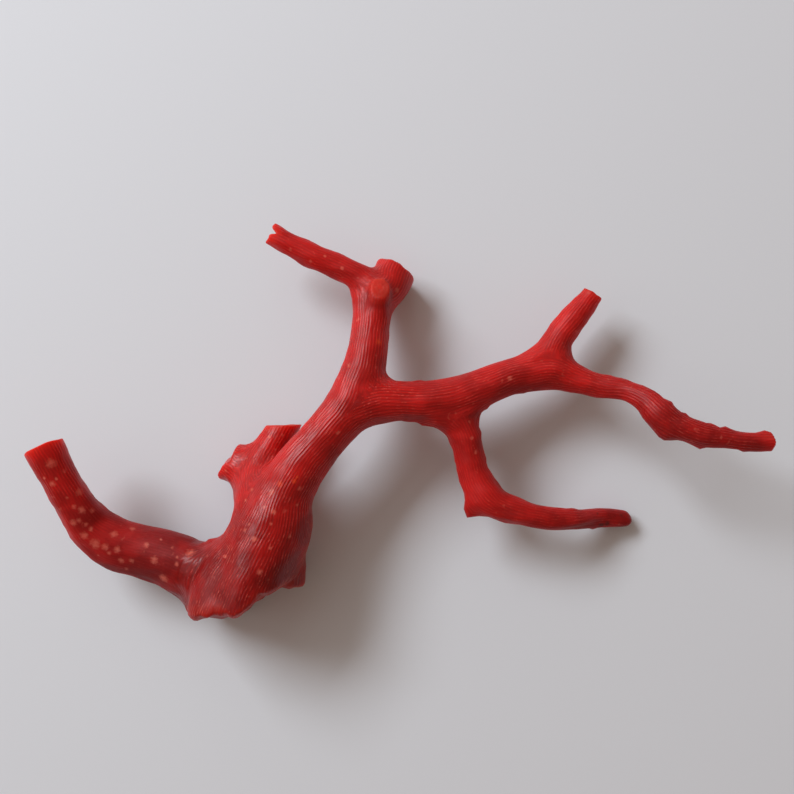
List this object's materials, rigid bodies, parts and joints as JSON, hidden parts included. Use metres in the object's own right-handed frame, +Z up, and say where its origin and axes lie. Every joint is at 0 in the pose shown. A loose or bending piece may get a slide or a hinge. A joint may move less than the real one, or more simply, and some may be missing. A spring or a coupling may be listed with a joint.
{
  "type": "red coral branch",
  "caption": "Loose branch of red coral with a flared sawn foot, a thick bent arm, cut stubs and thin twigs, lying flat.",
  "frame": {"origin": "on the surface the branch lies on, under the middle of its bounding box", "axes": "+X along the branch from the thick arm to the tip of the right twig, +Y from the sawn foot to the upper twig, +Z up from the surface"},
  "size_m": [0.0856, 0.0475, 0.0139],
  "materials": {
    "deep_red_coral": "satin, finely ribbed, slightly waxy",
    "bright_red_coral": "satin, finely ribbed, slightly waxy"
  },
  "bodies": {
    "root": {"base_trunk": "deep_red_coral", "left_arm": "deep_red_coral", "forked_stub": "deep_red_coral", "upper_stem": "deep_red_coral", "upper_left_twig": "bright_red_coral", "right_branch": "deep_red_coral", "right_stub": "bright_red_coral", "right_twig": "bright_red_coral", "lower_twig": "bright_red_coral"}
  },
  "joints": []
}
